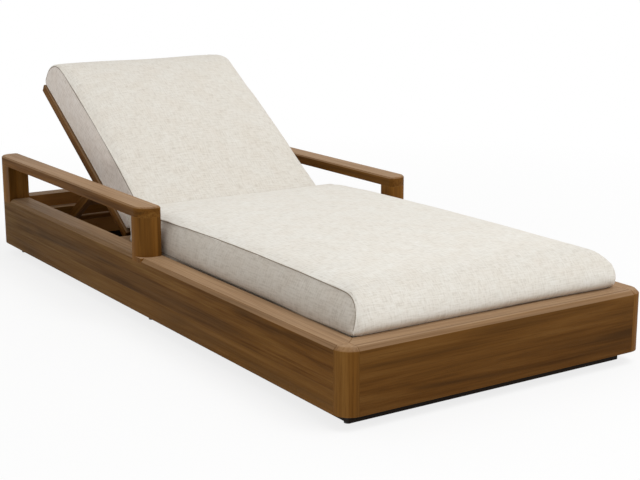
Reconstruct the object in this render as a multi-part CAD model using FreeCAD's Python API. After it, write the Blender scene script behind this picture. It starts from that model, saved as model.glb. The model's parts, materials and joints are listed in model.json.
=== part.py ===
import FreeCAD, Part
import math
import os

# Teak chaise longue with a low box base, two arms and a back that reclines on a notched prop.
# Millimetres. X is the width, Y runs from the foot end to the head end, Z is up.
# The origin is on the floor under the middle of the base.

# Base box
LENGTH = 2000.0
WIDTH = 886.0
RAIL_TOP = 186.0
RAIL_THICKNESS = 66.0
CORNER_RADIUS = 40.0
RAIL_BEVEL = 9.0
PLINTH_HEIGHT = 33.0
PLINTH_SETBACK = 42.0
PLINTH_THICKNESS = 20.0
GLIDE_HEIGHT = 4.0
GLIDE_RADIUS = 9.0
GLIDES_PER_SIDE = 3
CORNER_BLOCK_LEG = 36.0
CORNER_BLOCK_HEIGHT = 60.0

# Arms
ARM_TOP = 321.0
CAP_THICKNESS = 28.0
CAP_BEVEL = 4.0
CAP_INNER_RADIUS = 12.0
ARM_LENGTH = 1050.0
FRONT_POST_LENGTH = 52.0
REAR_POST_LENGTH = 88.0
POST_HOUSING = 14.0
DOWEL_RADIUS = 6.0
DOWEL_LENGTH = 40.0
DOWEL_FIRST = 14.0
DOWEL_SPACING = 22.0

# Seat deck
DECK_TOP = 172.0
SLAT_THICKNESS = 20.0
SLAT_WIDTH = 68.0
SLAT_COUNT = 14
SLAT_EASE = 3.0
CLEAT_WIDTH = 25.0
CLEAT_HEIGHT = 32.0
BEARER_WIDTH = 40.0
BEARER_HEIGHT = 62.0
DECK_SETBACK = 64.0

# Back panel
BACK_ROOM = 589.0
BACK_LENGTH = 715.0
PANEL_DROP = 19.0
PANEL_THICKNESS = 26.0
PANEL_SIDE_GAP = 68.0
STILE_WIDTH = 50.0
CROSS_RAIL_WIDTH = 60.0
BACK_SLAT_WIDTH = 52.0
BACK_SLAT_THICKNESS = 14.0
BACK_SLAT_COUNT = 7
PANEL_START = 8.0
REST_ANGLE = 33.0
STOP_ANGLES = (21.0, 33.0, 45.0)

# Hinges
HINGE_BEAM_WIDTH = 56.0
HINGE_BEAM_HEIGHT = 52.0
HINGE_RISE = 18.0
PIN_RADIUS = 5.0
EYE_RADIUS = 11.0
LUG_THICKNESS = 10.0
FORK_EAR = 5.0
PLATE_THICKNESS = 3.0
PLATE_LENGTH = 48.0

# Prop and racks
PROP_LENGTH = 265.0
LEG_WIDTH = 24.0
LEG_HEIGHT = 28.0
BAR_RADIUS = 9.0
BRACKET_EAR = 3.0
PROP_PIN_RADIUS = 4.0
TIE_WIDTH = 30.0
TIE_THICKNESS = 14.0
RACK_WIDTH = 25.0
RACK_HEIGHT = 48.0
RACK_LEAD = 40.0
NOTCH_RADIUS = 10.5
NOTCH_DEPTH = 6.0
LEDGER_DEPTH = 40.0
LEDGER_HEIGHT = 34.0

# Cushions
SEAT_SIDE_GAP = 5.0
SEAT_SIDE_TAPER = 24.0
SEAT_EDGE_TOP = 274.0
SEAT_FOOT_GAP = 5.0
SEAT_CROWN = 15.0
SEAT_EDGE_CROWN = 4.0
SEAT_REAR_DIP = 10.0
SEAT_NOSE_RADIUS = 46.0
SEAT_CORNER_RADIUS = 10.0
BACK_INSET = 2.0
BACK_THICKNESS = 125.0
BACK_CROWN = 14.0
BACK_EDGE_CROWN = 4.0
BACK_NOSE_RADIUS = 98.0
BACK_CORNER_RADIUS = 10.0
BACK_OVERHANG = 10.0
CREASE_GAP = 4.0
SIDE_DRAW = 5.0

# Clearances
SEAT_FIT = 0.3
RUNNING_FIT = 0.05
SIDE_PLAY = 0.3
DOWEL_FIT = 0.1
DECK_SWEEP_GAP = 4.0
OUTLINE_MARGIN = 1.0

# Places worked out from the sizes above
HALF_WIDTH = WIDTH / 2
HALF_LENGTH = LENGTH / 2
INNER_X = HALF_WIDTH - RAIL_THICKNESS
INNER_Y = HALF_LENGTH - RAIL_THICKNESS
ARM_FRONT = HALF_LENGTH - ARM_LENGTH
HINGE_Y = INNER_Y - BACK_ROOM
PANEL_WIDTH = 2 * (INNER_X - PANEL_SIDE_GAP)
SEAT_WIDTH = 2 * (INNER_X - SEAT_SIDE_GAP)
BACK_WIDTH = PANEL_WIDTH - 2 * BACK_INSET
CAP_BOTTOM = ARM_TOP - CAP_THICKNESS
POST_BOTTOM = RAIL_TOP - POST_HOUSING
SLAT_BOTTOM = DECK_TOP - SLAT_THICKNESS
HINGE_Z = DECK_TOP - PANEL_THICKNESS - PANEL_DROP
HINGE_BEAM_TOP = HINGE_Z - HINGE_RISE
HINGE_BEAM_FRONT = HINGE_Y - HINGE_BEAM_WIDTH / 2
PANEL_FRONT = PANEL_DROP + PANEL_THICKNESS
STILE_X = (PANEL_WIDTH - STILE_WIDTH) / 2
CUSHION_REAR = PANEL_FRONT + SEAT_FIT
CUSHION_FRONT = CUSHION_REAR + BACK_THICKNESS
PANEL_END = BACK_LENGTH - BACK_OVERHANG
RACK_TOP = HINGE_Z - BAR_RADIUS - SEAT_FIT
LEDGER_FRONT = INNER_Y - LEDGER_DEPTH
LEDGER_TOP = HINGE_Z + PANEL_DROP - SEAT_FIT
MAX_ANGLE = max(STOP_ANGLES)
HINGE = FreeCAD.Vector(0, HINGE_Y, HINGE_Z)
X_AXIS = FreeCAD.Vector(1, 0, 0)
CUSHION_SECTIONS = (-1.0, -0.55, 0.0, 0.55, 1.0)


def vec(x, y, z):
    return FreeCAD.Vector(x, y, z)


def line(a, b):
    return Part.LineSegment(a, b).toShape()


def arc(a, middle, b):
    return Part.Arc(a, middle, b).toShape()


def mirrored(shape):
    return shape.mirror(vec(0, 0, 0), X_AXIS)


def group(shapes):
    return Part.makeCompound(shapes)


def closed_profile(points):
    return Part.Face(Part.makePolygon(points + points[:1]))


def board(x0, x1, y0, y1, z0, z1):
    return Part.makeBox(x1 - x0, y1 - y0, z1 - z0, vec(x0, y0, z0))


def prism_up(plan, z0, z1):
    """Solid over a plan of (x, y) points."""
    face = closed_profile([vec(x, y, z0) for x, y in plan])
    return face.extrude(vec(0, 0, z1 - z0))


def rounded_plan(x0, x1, y0, y1, radii, z=0.0):
    """Wire of a rectangle with its own radius, or none, at (x0,y0), (x1,y0), (x1,y1) and (x0,y1)."""
    corners = [(x0, y0, 1, 1), (x1, y0, -1, 1), (x1, y1, -1, -1), (x0, y1, 1, -1)]
    bulge = 1 - math.sqrt(0.5)
    stops = []
    for number, ((x, y, dx, dy), r) in enumerate(zip(corners, radii)):
        along_x = vec(x + dx * r, y, z)
        along_y = vec(x, y + dy * r, z)
        middle = vec(x + dx * r * bulge, y + dy * r * bulge, z)
        first, last = (along_y, along_x) if number % 2 == 0 else (along_x, along_y)
        stops.append((first, middle, last))
    edges = []
    for here, after, r in zip(stops, stops[1:] + stops[:1], radii):
        if r > 0:
            edges.append(arc(*here))
        edges.append(line(here[2], after[0]))
    return Part.Wire(edges)


def rounded_post(x0, x1, y0, y1, radii, z0, z1):
    return Part.Face(rounded_plan(x0, x1, y0, y1, radii, z0)).extrude(vec(0, 0, z1 - z0))


def rod_x(x0, x1, y, z, radius):
    return Part.makeCylinder(radius, x1 - x0, vec(x0, y, z), X_AXIS)


def rod_z(x, y, z0, z1, radius):
    return Part.makeCylinder(radius, z1 - z0, vec(x, y, z0))


def bevelled(shape, size, test):
    return shape.makeChamfer(size, [edge for edge in shape.Edges if test(edge.BoundBox)])


def eased(shape, radius, test):
    return shape.makeFillet(radius, [edge for edge in shape.Edges if test(edge.BoundBox)])


def reclined(shape):
    """Turn a piece of the flat back panel up to its angle at rest."""
    turned = shape.copy()
    turned.rotate(HINGE, X_AXIS, REST_ANGLE)
    return turned


def propped(shape):
    """Turn a piece of the folded prop with the back, then down about the prop's own pins."""
    turned = reclined(shape)
    angle = math.radians(REST_ANGLE)
    pivot = HINGE + vec(0, PROP_LENGTH * math.cos(angle), PROP_LENGTH * math.sin(angle))
    turned.rotate(pivot, X_AXIS, -2 * REST_ANGLE)
    return turned


def panel_board(x0, x1, s0, s1, o0, o1):
    """Board on the flat panel: s runs up the back from the hinge, o stands off the hinge axis."""
    return board(x0, x1, HINGE_Y + s0, HINGE_Y + s1, HINGE_Z + o0, HINGE_Z + o1)


def eye_plate(x0, x1, base, width, radius, hole):
    """Plate with a round eye at the hinge axis and a straight neck to height base."""
    sign = 1 if base > 0 else -1
    tip = HINGE - vec(0, 0, sign * radius)
    left = HINGE - vec(0, radius, 0)
    right = HINGE + vec(0, radius, 0)
    foot_left = HINGE + vec(0, -width / 2, base)
    foot_right = HINGE + vec(0, width / 2, base)
    edges = [arc(left, tip, right), line(right, foot_right), line(foot_right, foot_left), line(foot_left, left)]
    plate = Part.Face(Part.Wire(edges))
    plate.translate(vec(x0, 0, 0))
    return plate.extrude(vec(x1 - x0, 0, 0)).cut(rod_x(x0, x1, HINGE_Y, HINGE_Z, hole))


# Base

def arm_housings():
    """Spaces that the arm posts of both sides fill in the tops of the rails."""
    front = board(-HALF_WIDTH, -INNER_X, ARM_FRONT, ARM_FRONT + FRONT_POST_LENGTH, POST_BOTTOM, ARM_TOP)
    rear = board(-HALF_WIDTH, -INNER_X, HALF_LENGTH - REAR_POST_LENGTH, HALF_LENGTH, POST_BOTTOM, ARM_TOP)
    return [front, rear, mirrored(front), mirrored(rear)]


def dowel_places():
    """Middle of each left dowel: one under and two over each post."""
    x = -(HALF_WIDTH + INNER_X) / 2
    places = []
    for post_start in (ARM_FRONT, HALF_LENGTH - REAR_POST_LENGTH):
        first = post_start + DOWEL_FIRST
        places.append((x, first + DOWEL_SPACING / 2, POST_BOTTOM))
        places.append((x, first, CAP_BOTTOM))
        places.append((x, first + DOWEL_SPACING, CAP_BOTTOM))
    return places


def left_dowels(fit):
    half = DOWEL_LENGTH / 2 + fit
    return [rod_z(x, y, z - half, z + half, DOWEL_RADIUS + fit) for x, y, z in dowel_places()]


def dowel_holes():
    left = left_dowels(DOWEL_FIT)
    return left + [mirrored(hole) for hole in left]


def side_rail():
    plan = [
        (-HALF_WIDTH, CORNER_RADIUS - HALF_LENGTH),
        (CORNER_RADIUS - HALF_WIDTH, CORNER_RADIUS - HALF_LENGTH),
        (-INNER_X, -INNER_Y),
        (-INNER_X, INNER_Y),
        (CORNER_RADIUS - HALF_WIDTH, HALF_LENGTH - CORNER_RADIUS),
        (-HALF_WIDTH, HALF_LENGTH - CORNER_RADIUS),
    ]
    rail = prism_up(plan, PLINTH_HEIGHT, RAIL_TOP)
    rail = bevelled(rail, RAIL_BEVEL, lambda b: b.ZMin > RAIL_TOP - 1 and b.XMax < 1 - HALF_WIDTH)
    return rail.cut(arm_housings()).cut(dowel_holes())


def end_rail():
    plan = [
        (CORNER_RADIUS - HALF_WIDTH, -HALF_LENGTH),
        (HALF_WIDTH - CORNER_RADIUS, -HALF_LENGTH),
        (HALF_WIDTH - CORNER_RADIUS, CORNER_RADIUS - HALF_LENGTH),
        (INNER_X, -INNER_Y),
        (-INNER_X, -INNER_Y),
        (CORNER_RADIUS - HALF_WIDTH, CORNER_RADIUS - HALF_LENGTH),
    ]
    rail = prism_up(plan, PLINTH_HEIGHT, RAIL_TOP)
    return bevelled(rail, RAIL_BEVEL, lambda b: b.ZMin > RAIL_TOP - 1 and b.YMax < 1 - HALF_LENGTH)


def corner_post():
    """Quarter-round post at the left foot corner, with the bevel of the rails carried round it."""
    edge_x = CORNER_RADIUS - HALF_WIDTH
    edge_y = CORNER_RADIUS - HALF_LENGTH
    centre = vec(edge_x, edge_y, PLINTH_HEIGHT)
    height = RAIL_TOP - PLINTH_HEIGHT
    profile = [
        vec(0, 0, 0),
        vec(CORNER_RADIUS, 0, 0),
        vec(CORNER_RADIUS, 0, height - RAIL_BEVEL),
        vec(CORNER_RADIUS - RAIL_BEVEL, 0, height),
        vec(0, 0, height),
    ]
    half_section = closed_profile(profile)
    post = half_section.revolve(vec(0, 0, 0), vec(0, 0, 1), 90)
    post.rotate(vec(0, 0, 0), vec(0, 0, 1), 180)
    post.translate(centre)
    return post


def turned_to_head(shape):
    return shape.mirror(vec(0, 0, 0), vec(0, 1, 0))


def plinth_board_side():
    x0 = PLINTH_SETBACK - HALF_WIDTH
    y = HALF_LENGTH - PLINTH_SETBACK
    return board(x0, x0 + PLINTH_THICKNESS, -y, y, GLIDE_HEIGHT, PLINTH_HEIGHT)


def plinth_board_foot():
    x = HALF_WIDTH - PLINTH_SETBACK - PLINTH_THICKNESS
    y0 = PLINTH_SETBACK - HALF_LENGTH
    return board(-x, x, y0, y0 + PLINTH_THICKNESS, GLIDE_HEIGHT, PLINTH_HEIGHT)


def floor_glides():
    x = HALF_WIDTH - PLINTH_SETBACK - PLINTH_THICKNESS / 2
    reach = HALF_LENGTH - PLINTH_SETBACK - 2 * GLIDE_RADIUS
    glides = []
    for side in (-1, 1):
        for number in range(GLIDES_PER_SIDE):
            y = -reach + 2 * reach * number / (GLIDES_PER_SIDE - 1)
            glides.append(rod_z(side * x, y, 0, GLIDE_HEIGHT, GLIDE_RADIUS))
    return group(glides)


def corner_blocks():
    leg = CORNER_BLOCK_LEG
    plan = [(-INNER_X, -INNER_Y), (leg - INNER_X, -INNER_Y), (-INNER_X, leg - INNER_Y)]
    block = prism_up(plan, PLINTH_HEIGHT, PLINTH_HEIGHT + CORNER_BLOCK_HEIGHT)
    pair = [block, mirrored(block)]
    return group(pair + [turned_to_head(piece) for piece in pair])


# Arms

def front_post():
    radii = (CORNER_RADIUS, CAP_INNER_RADIUS, 0, 0)
    end = ARM_FRONT + FRONT_POST_LENGTH
    plain = rounded_post(-HALF_WIDTH, -INNER_X, ARM_FRONT, end, radii, RAIL_TOP, CAP_BOTTOM)
    tongue = board(-HALF_WIDTH, -INNER_X, ARM_FRONT, end, POST_BOTTOM, RAIL_TOP)
    return plain.fuse(tongue).removeSplitter().cut(dowel_holes())


def rear_post():
    radii = (0, 0, CAP_INNER_RADIUS, CORNER_RADIUS)
    tongue_radii = (0, 0, 0, CORNER_RADIUS)
    start = HALF_LENGTH - REAR_POST_LENGTH
    plain = rounded_post(-HALF_WIDTH, -INNER_X, start, HALF_LENGTH, radii, RAIL_TOP, CAP_BOTTOM)
    tongue = rounded_post(-HALF_WIDTH, -INNER_X, start, HALF_LENGTH, tongue_radii, POST_BOTTOM, RAIL_TOP)
    return plain.fuse(tongue).removeSplitter().cut(dowel_holes())


def arm_cap():
    radii = (CORNER_RADIUS, CAP_INNER_RADIUS, CAP_INNER_RADIUS, CORNER_RADIUS)
    cap = rounded_post(-HALF_WIDTH, -INNER_X, ARM_FRONT, HALF_LENGTH, radii, CAP_BOTTOM, ARM_TOP)
    cap = bevelled(cap, CAP_BEVEL, lambda b: b.ZMin > ARM_TOP - 1)
    return cap.cut(dowel_holes())


def arm_dowels():
    left = left_dowels(0.0)
    return group(left + [mirrored(dowel) for dowel in left])


# Seat deck

def seat_cleat():
    inner = CLEAT_WIDTH - INNER_X
    return board(-INNER_X, inner, -INNER_Y, HINGE_BEAM_FRONT, SLAT_BOTTOM - CLEAT_HEIGHT, SLAT_BOTTOM)


def center_bearer():
    half = BEARER_WIDTH / 2
    return board(-half, half, -INNER_Y, HINGE_BEAM_FRONT, SLAT_BOTTOM - BEARER_HEIGHT, SLAT_BOTTOM)


def seat_slats():
    start = -INNER_Y + SEAT_FIT
    end = HINGE_Y - DECK_SETBACK
    pitch = (end - start - SLAT_WIDTH) / (SLAT_COUNT - 1)
    reach = INNER_X - SEAT_FIT
    slats = []
    for number in range(SLAT_COUNT):
        y = start + number * pitch
        slat = board(-reach, reach, y, y + SLAT_WIDTH, SLAT_BOTTOM, DECK_TOP)
        slats.append(bevelled(slat, SLAT_EASE, lambda b: b.ZMin > DECK_TOP - 1 and b.XLength > reach))
    return group(slats)


def hinge_beam():
    bottom = HINGE_BEAM_TOP - HINGE_BEAM_HEIGHT
    rear = HINGE_BEAM_FRONT + HINGE_BEAM_WIDTH
    return board(-INNER_X, INNER_X, HINGE_BEAM_FRONT, rear, bottom, HINGE_BEAM_TOP)


def head_ledger():
    return board(-INNER_X, INNER_X, LEDGER_FRONT, INNER_Y, LEDGER_TOP - LEDGER_HEIGHT, LEDGER_TOP)


def stop_place(angle):
    """Where the foot bar stands when the back is at this angle."""
    return HINGE_Y + 2 * PROP_LENGTH * math.cos(math.radians(angle))


def rack():
    start = stop_place(MAX_ANGLE) - RACK_LEAD
    inner = RACK_WIDTH - INNER_X
    blank = board(-INNER_X, inner, start, LEDGER_FRONT, RACK_TOP - RACK_HEIGHT, RACK_TOP)
    notch_z = RACK_TOP - NOTCH_DEPTH + NOTCH_RADIUS
    notches = [rod_x(-INNER_X, inner, stop_place(angle), notch_z, NOTCH_RADIUS) for angle in STOP_ANGLES]
    return blank.cut(notches)


# Hinges

def fork_ear(x0, x1):
    return eye_plate(x0, x1, PLATE_THICKNESS - HINGE_RISE, PLATE_LENGTH, EYE_RADIUS, PIN_RADIUS + RUNNING_FIT)


def hinge_fork():
    inside = LUG_THICKNESS / 2 + SIDE_PLAY
    outside = inside + FORK_EAR
    half = PLATE_LENGTH / 2
    base = panel_board(-outside, outside, -half, half, -HINGE_RISE, PLATE_THICKNESS - HINGE_RISE)
    fork = base.fuse([fork_ear(-outside, -inside), fork_ear(inside, outside)]).removeSplitter()
    fork.translate(vec(-STILE_X, 0, 0))
    return fork


def hinge_lug():
    half = LUG_THICKNESS / 2
    reach = half + FORK_EAR
    top = PANEL_DROP - PLATE_THICKNESS
    eye = eye_plate(-half, half, top, 2 * EYE_RADIUS, EYE_RADIUS, PIN_RADIUS + RUNNING_FIT)
    plate = panel_board(-reach, reach, -EYE_RADIUS, PANEL_START + PLATE_LENGTH, top, PANEL_DROP)
    lug = eye.fuse(plate).removeSplitter()
    lug.translate(vec(-STILE_X, 0, 0))
    return lug


def hinge_pin():
    half = LUG_THICKNESS / 2 + SIDE_PLAY + FORK_EAR + PLATE_THICKNESS
    return rod_x(-STILE_X - half, -STILE_X + half, HINGE_Y, HINGE_Z, PIN_RADIUS)


# Back panel, drawn flat

def back_stile():
    x0 = -PANEL_WIDTH / 2
    stile = panel_board(x0, x0 + STILE_WIDTH, PANEL_START, PANEL_END, PANEL_DROP, PANEL_FRONT)
    return eased(stile, SLAT_EASE, lambda b: b.XMax < x0 + 1 and b.YLength > STILE_WIDTH)


def back_cross_rail(start):
    reach = PANEL_WIDTH / 2 - STILE_WIDTH
    return panel_board(-reach, reach, start, start + CROSS_RAIL_WIDTH, PANEL_DROP, PANEL_FRONT)


def back_slats():
    reach = PANEL_WIDTH / 2 - STILE_WIDTH
    first = PANEL_START + CROSS_RAIL_WIDTH
    last = PANEL_END - CROSS_RAIL_WIDTH
    gap = (last - first - BACK_SLAT_COUNT * BACK_SLAT_WIDTH) / (BACK_SLAT_COUNT + 1)
    slats = []
    for number in range(BACK_SLAT_COUNT):
        start = first + gap + number * (BACK_SLAT_WIDTH + gap)
        end = start + BACK_SLAT_WIDTH
        slats.append(panel_board(-reach, reach, start, end, PANEL_FRONT - BACK_SLAT_THICKNESS, PANEL_FRONT))
    return group(slats)


# Prop, drawn folded flat under the panel

def at_prop_pivot(shape):
    shape.translate(vec(-STILE_X, PROP_LENGTH, 0))
    return shape


def prop_bracket():
    inside = LEG_WIDTH / 2 + SIDE_PLAY
    outside = inside + BRACKET_EAR
    top = PANEL_DROP - PLATE_THICKNESS
    half = PLATE_LENGTH / 2
    hole = PROP_PIN_RADIUS + RUNNING_FIT
    base = panel_board(-outside, outside, -half, half, top, PANEL_DROP)
    ears = [eye_plate(x, x + BRACKET_EAR, top, PLATE_LENGTH, EYE_RADIUS, hole) for x in (-outside, inside)]
    return at_prop_pivot(base.fuse(ears).removeSplitter())


def prop_pin():
    half = LEG_WIDTH / 2 + SIDE_PLAY + BRACKET_EAR + PLATE_THICKNESS
    return at_prop_pivot(rod_x(-half, half, HINGE_Y, HINGE_Z, PROP_PIN_RADIUS))


def prop_leg():
    half = LEG_WIDTH / 2
    round_end = LEG_HEIGHT / 2
    near = HINGE + vec(-half, 0, 0)
    far = near + vec(0, PROP_LENGTH, 0)
    rise = vec(0, 0, round_end)
    edges = [
        line(near + rise, far + rise),
        arc(far + rise, far + vec(0, round_end, 0), far - rise),
        line(far - rise, near - rise),
        arc(near - rise, near - vec(0, round_end, 0), near + rise),
    ]
    leg = Part.Face(Part.Wire(edges)).extrude(vec(LEG_WIDTH, 0, 0))
    pivot_hole = rod_x(-half, half, HINGE_Y, HINGE_Z, PROP_PIN_RADIUS + RUNNING_FIT)
    bar_hole = rod_x(-half, half, HINGE_Y + PROP_LENGTH, HINGE_Z, BAR_RADIUS + RUNNING_FIT)
    return at_prop_pivot(leg.cut([pivot_hole, bar_hole]))


def prop_foot_bar():
    reach = INNER_X - 2 * SIDE_PLAY
    return rod_x(-reach, reach, HINGE_Y + 2 * PROP_LENGTH, HINGE_Z, BAR_RADIUS)


def prop_tie_bar():
    reach = STILE_X - LEG_WIDTH / 2
    start = 1.5 * PROP_LENGTH - TIE_WIDTH / 2
    half = TIE_THICKNESS / 2
    return panel_board(-reach, reach, start, start + TIE_WIDTH, -half, half)


# Cushions

def loft_across(profile_wire, half_width, edge_crown, crown):
    """Loft side profiles across the width; the crown swells towards the middle."""
    sections = []
    for place in CUSHION_SECTIONS:
        swell = edge_crown + (crown - edge_crown) * (1 - place * place)
        sections.append(profile_wire(place * half_width, swell))
    return Part.makeLoft(sections, True, False)


def drawn_outline(half_width, y0, y1, z, front, rear):
    """Cushion outline whose sides are drawn in between corners of radius front and rear."""
    drawn = half_width - SIDE_DRAW
    middle_y = (y0 + y1) / 2
    bulge = 1 - math.sqrt(0.5)
    foot_left = vec(front - half_width, y0, z)
    foot_right = vec(half_width - front, y0, z)
    side_foot = vec(half_width, y0 + front, z)
    side_head = vec(half_width, y1 - rear, z)
    head_right = vec(half_width - rear, y1, z)
    head_left = vec(rear - half_width, y1, z)
    left_head = vec(-half_width, y1 - rear, z)
    left_foot = vec(-half_width, y0 + front, z)
    return Part.Wire([
        line(foot_left, foot_right),
        arc(foot_right, vec(half_width - bulge * front, y0 + bulge * front, z), side_foot),
        arc(side_foot, vec(drawn, middle_y, z), side_head),
        arc(side_head, vec(half_width - bulge * rear, y1 - bulge * rear, z), head_right),
        line(head_right, head_left),
        arc(head_left, vec(bulge * rear - half_width, y1 - bulge * rear, z), left_head),
        arc(left_head, vec(-drawn, middle_y, z), left_foot),
        arc(left_foot, vec(bulge * front - half_width, y0 + bulge * front, z), foot_left),
    ])


def drawn_block(half_width, box, front_radius, rear_radius, taper):
    """Block over the cushion's outline, narrower on each side at the top by the taper."""
    y0 = box.YMin - OUTLINE_MARGIN
    y1 = box.YMax + OUTLINE_MARGIN
    bottom = drawn_outline(half_width, y0, y1, box.ZMin - OUTLINE_MARGIN, front_radius, rear_radius)
    top = drawn_outline(half_width - taper, y0, y1, box.ZMax + OUTLINE_MARGIN, front_radius, rear_radius)
    return Part.makeLoft([bottom, top], True, True)


def polar(radius, degrees):
    """Point at this radius and angle about the hinge axis, as (y, z)."""
    angle = math.radians(degrees)
    return HINGE_Y + radius * math.cos(angle), HINGE_Z + radius * math.sin(angle)


def seat_profile(x, swell):
    """Side outline: hollow rear face that clears the turning back, crowned top and a rolled nose."""
    bottom = DECK_TOP + SEAT_FIT
    front = SEAT_FOOT_GAP - INNER_Y
    nose = SEAT_NOSE_RADIUS
    bulge = 1 - math.sqrt(0.5)
    hollow = CUSHION_FRONT + CREASE_GAP
    low_angle = 180 - math.degrees(math.asin((bottom - HINGE_Z) / hollow))
    high_angle = 90 + MAX_ANGLE
    low = vec(x, *polar(hollow, low_angle))
    mid = vec(x, *polar(hollow, (low_angle + high_angle) / 2))
    high = vec(x, *polar(hollow, high_angle))
    rear_z = SEAT_EDGE_TOP - SEAT_REAR_DIP
    rear_top = vec(x, high.y + (rear_z - high.z) / math.tan(math.radians(MAX_ANGLE)), rear_z)
    nose_top = vec(x, front + nose, SEAT_EDGE_TOP)
    nose_mid = vec(x, front + bulge * nose, SEAT_EDGE_TOP - bulge * nose)
    nose_low = vec(x, front, SEAT_EDGE_TOP - nose)
    crown = vec(x, (rear_top.y + nose_top.y) / 2, SEAT_EDGE_TOP + swell)
    toe = vec(x, front, bottom)
    return Part.Wire([
        arc(low, mid, high),
        line(high, rear_top),
        arc(rear_top, crown, nose_top),
        arc(nose_top, nose_mid, nose_low),
        line(nose_low, toe),
        line(toe, low),
    ])


def seat_cushion():
    half = SEAT_WIDTH / 2
    body = loft_across(seat_profile, half, SEAT_EDGE_CROWN, SEAT_CROWN)
    return body.common(drawn_block(half, body.BoundBox, SEAT_CORNER_RADIUS, SIDE_DRAW, SEAT_SIDE_TAPER))


def back_profile(x, swell):
    """Side outline of the flat back cushion: round lower end about the hinge, crown and rolled top."""
    nose = BACK_NOSE_RADIUS
    bulge = 1 - math.sqrt(0.5)
    front = HINGE_Z + CUSHION_FRONT
    rear = HINGE_Z + CUSHION_REAR
    end = HINGE_Y + BACK_LENGTH
    sweep = math.radians(MAX_ANGLE)
    deck = DECK_TOP + DECK_SWEEP_GAP - HINGE_Z
    heel_angle = 180 - math.degrees(math.asin(deck / CUSHION_FRONT)) - MAX_ANGLE
    heel = vec(x, *polar(CUSHION_FRONT, heel_angle))
    heel_mid = vec(x, *polar(CUSHION_FRONT, (heel_angle + 90) / 2))
    shin = vec(x, HINGE_Y, front)
    low = vec(x, HINGE_Y + (deck - CUSHION_REAR * math.cos(sweep)) / math.sin(sweep), rear)
    top_rear = vec(x, end, rear)
    top_low = vec(x, end, front - nose)
    top_mid = vec(x, end - bulge * nose, front - bulge * nose)
    top_front = vec(x, end - nose, front)
    crown = vec(x, (shin.y + top_front.y) / 2, front + swell)
    return Part.Wire([
        line(low, top_rear),
        line(top_rear, top_low),
        arc(top_low, top_mid, top_front),
        arc(top_front, crown, shin),
        arc(shin, heel_mid, heel),
        line(heel, low),
    ])


def back_cushion():
    half = BACK_WIDTH / 2
    body = loft_across(back_profile, half, BACK_EDGE_CROWN, BACK_CROWN)
    return body.common(drawn_block(half, body.BoundBox, SIDE_DRAW, BACK_CORNER_RADIUS, 0.0))


def left_and_right(name, shape):
    return {name + "_left": shape, name + "_right": mirrored(shape)}


def pair_group(shape):
    return group([shape, mirrored(shape)])


def all_pieces():
    pieces = {}
    pieces.update(left_and_right("side_rail", side_rail()))
    pieces["foot_rail"] = end_rail()
    pieces["head_rail"] = turned_to_head(end_rail()).cut(arm_housings())
    pieces.update(left_and_right("corner_post_foot", corner_post()))
    head_corner = turned_to_head(corner_post()).cut(arm_housings())
    pieces.update(left_and_right("corner_post_head", head_corner))
    pieces.update(left_and_right("plinth_side", plinth_board_side()))
    pieces["plinth_foot"] = plinth_board_foot()
    pieces["plinth_head"] = turned_to_head(plinth_board_foot())
    pieces["floor_glides"] = floor_glides()
    pieces["corner_blocks"] = corner_blocks()
    pieces.update(left_and_right("arm_post_front", front_post()))
    pieces.update(left_and_right("arm_post_rear", rear_post()))
    pieces.update(left_and_right("arm_cap", arm_cap()))
    pieces["arm_dowels"] = arm_dowels()
    pieces.update(left_and_right("seat_cleat", seat_cleat()))
    pieces["center_bearer"] = center_bearer()
    pieces["seat_slats"] = seat_slats()
    pieces["hinge_beam"] = hinge_beam()
    pieces["head_ledger"] = head_ledger()
    pieces.update(left_and_right("rack", rack()))
    pieces["hinge_forks"] = pair_group(hinge_fork())
    pieces["hinge_pins"] = pair_group(hinge_pin())
    pieces["seat_cushion"] = seat_cushion()
    pieces.update(left_and_right("back_stile", reclined(back_stile())))
    pieces["back_bottom_rail"] = reclined(back_cross_rail(PANEL_START))
    pieces["back_top_rail"] = reclined(back_cross_rail(PANEL_END - CROSS_RAIL_WIDTH))
    pieces["back_slats"] = reclined(back_slats())
    pieces["hinge_lugs"] = reclined(pair_group(hinge_lug()))
    pieces["prop_brackets"] = reclined(pair_group(prop_bracket()))
    pieces["prop_pins"] = reclined(pair_group(prop_pin()))
    pieces["back_cushion"] = reclined(back_cushion())
    pieces.update(left_and_right("prop_leg", propped(prop_leg())))
    pieces["prop_foot_bar"] = propped(prop_foot_bar())
    pieces["prop_tie_bar"] = propped(prop_tie_bar())
    return pieces


os.makedirs("parts", exist_ok=True)
for node, shape in all_pieces().items():
    shape.exportStep(os.path.join("parts", node + ".step"))
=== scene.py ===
import json
import math

import bmesh
import bpy
import numpy as np
from mathutils import Matrix, Vector, kdtree, noise
from mathutils.bvhtree import BVHTree


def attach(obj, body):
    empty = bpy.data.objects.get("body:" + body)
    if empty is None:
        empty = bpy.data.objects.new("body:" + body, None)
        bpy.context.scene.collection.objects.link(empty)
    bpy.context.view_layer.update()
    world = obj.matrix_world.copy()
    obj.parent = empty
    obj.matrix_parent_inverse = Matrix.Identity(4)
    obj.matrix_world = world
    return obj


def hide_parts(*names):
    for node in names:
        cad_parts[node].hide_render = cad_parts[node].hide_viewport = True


# Looks of a teak chaise longue: finishes of the wood and steel, sewn cushions and a pale studio.
# Metres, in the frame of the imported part: X across, Y from foot to head, Z up.

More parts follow.
